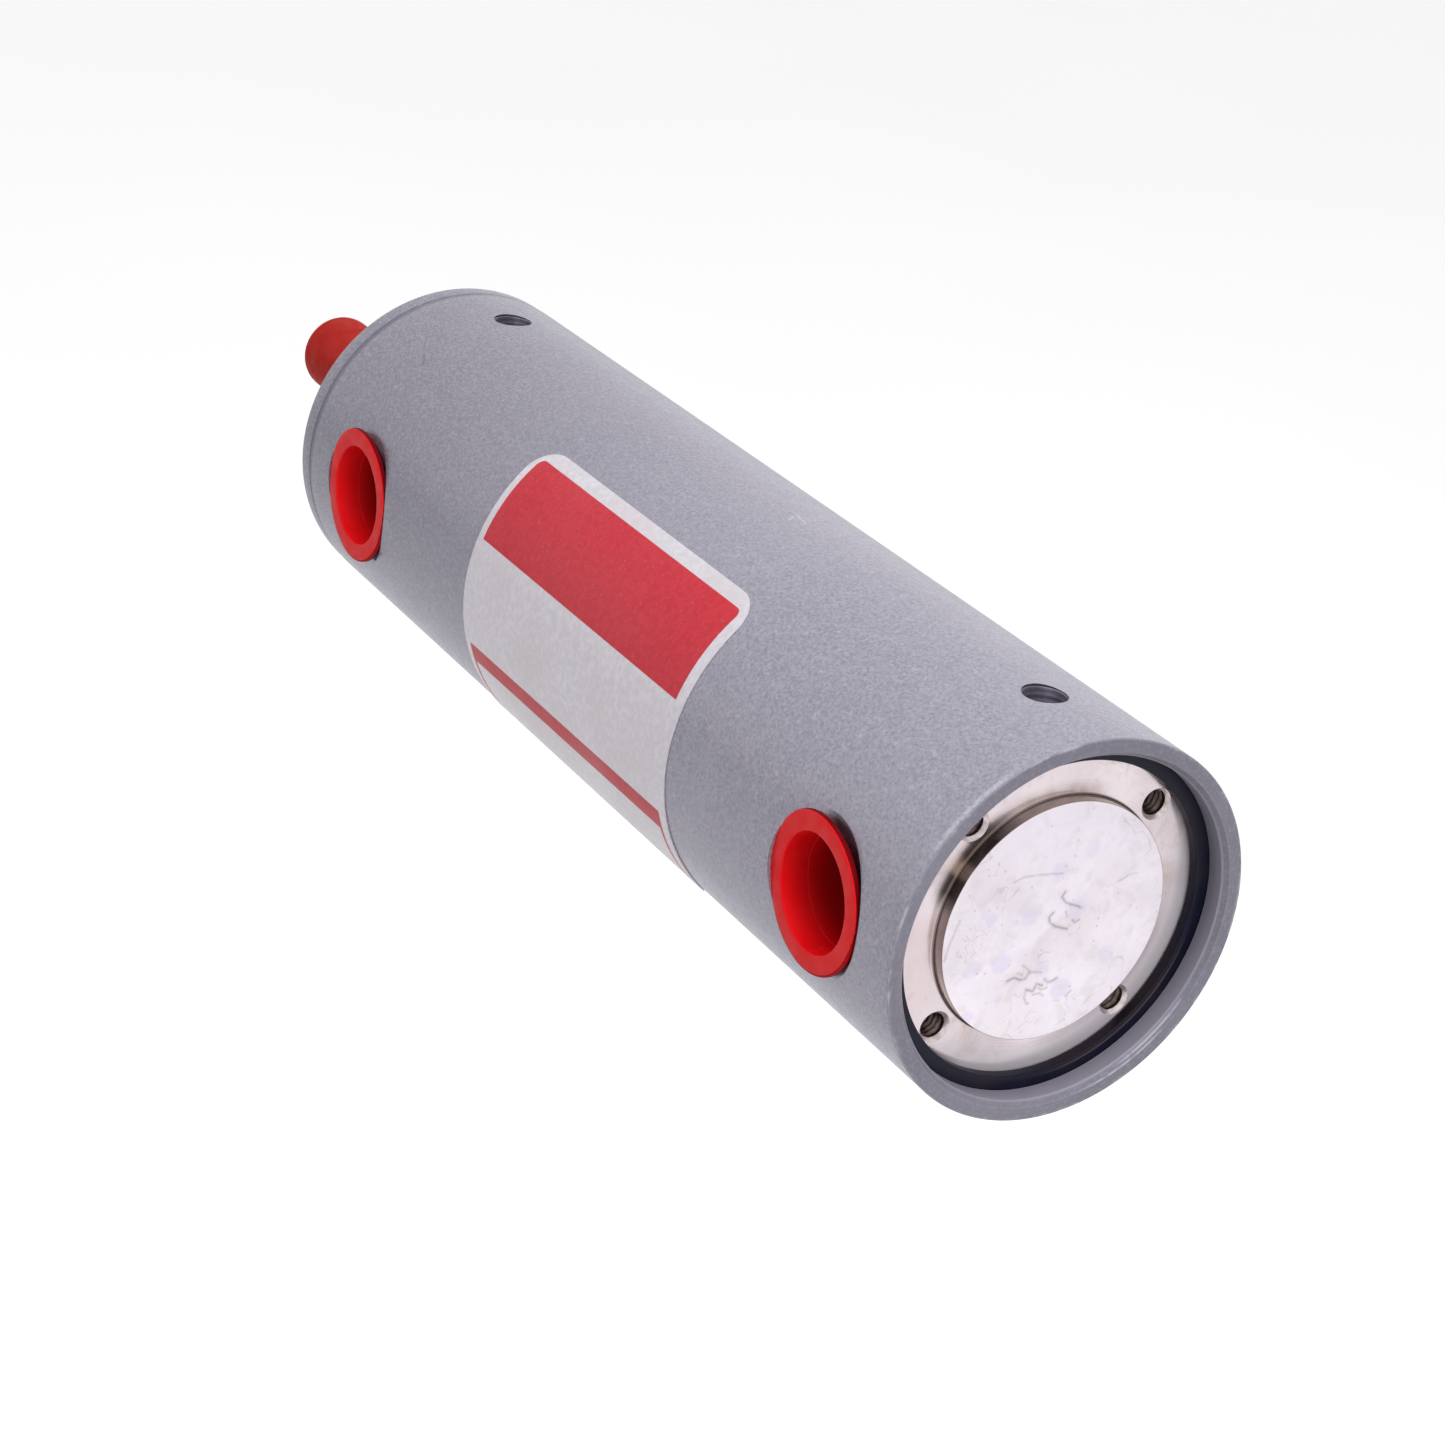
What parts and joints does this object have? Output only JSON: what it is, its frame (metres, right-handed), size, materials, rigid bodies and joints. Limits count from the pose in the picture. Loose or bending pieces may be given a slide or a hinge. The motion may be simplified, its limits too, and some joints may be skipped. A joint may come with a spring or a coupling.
{
  "type": "double-wall pneumatic cylinder",
  "caption": "Round-bodied air cylinder with recessed rear mounting face, plugged ports along one side, a wrap-round label and a capped rod.",
  "frame": {"origin": "centre of the raised boss on the rear head, the face that locates the cylinder when it is bolted on", "axes": "+X along the cylinder's axis towards the rod, +Y out of the two ports, +Z out of the two side holes"},
  "size_m": [0.2193, 0.051, 0.0508],
  "materials": {
    "anodised_grey": "fine matt anodised grey with a slight sparkle",
    "stainless_tube": "drawn and honed",
    "turned_alloy": "bright turned face, slightly stained",
    "black_spring_steel": "oiled black",
    "ground_chrome": "ground and chromed",
    "plated_steel": "zinc plated",
    "plain_aluminium": "turned",
    "bronze": "sintered bearing bronze",
    "black_nitrile": "moulded",
    "amber_urethane": "moulded",
    "wear_plastic": "filled bearing plastic",
    "red_plastic": "glossy moulded red",
    "label_film": "silvery film with red fields"
  },
  "bodies": {
    "barrel": {"outer_body": "anodised_grey", "inner_tube": "stainless_tube", "rear_head": "turned_alloy", "front_head": "anodised_grey", "rear_retaining_ring": "black_spring_steel", "rear_head_o_ring": "black_nitrile", "front_head_o_ring": "black_nitrile", "rear_bumper": "amber_urethane", "front_bumper": "amber_urethane", "rod_bushing": "bronze", "rod_seal": "black_nitrile", "rod_wiper": "amber_urethane", "rear_port_plug": "red_plastic", "front_port_plug": "red_plastic", "product_label": "label_film"},
    "piston_rings": {"rear_piston_seal": "black_nitrile", "piston_wear_ring": "wear_plastic", "front_piston_seal": "black_nitrile"},
    "rod_assembly": {"piston": "plain_aluminium", "piston_rod": "ground_chrome", "piston_nut": "plated_steel", "piston_o_ring": "black_nitrile", "rod_thread_cap": "red_plastic"}
  },
  "joints": [
    {"name": "rod_slide", "type": "slide", "parent": "barrel", "child": "piston_rings", "axis": [1, 0, 0], "range_m": [0, 0.0762]},
    {"name": "rod_turn", "type": "hinge", "parent": "piston_rings", "child": "rod_assembly", "pos_m": [0.0439, 0, 0], "axis": [1, 0, 0], "continuous": true}
  ]
}
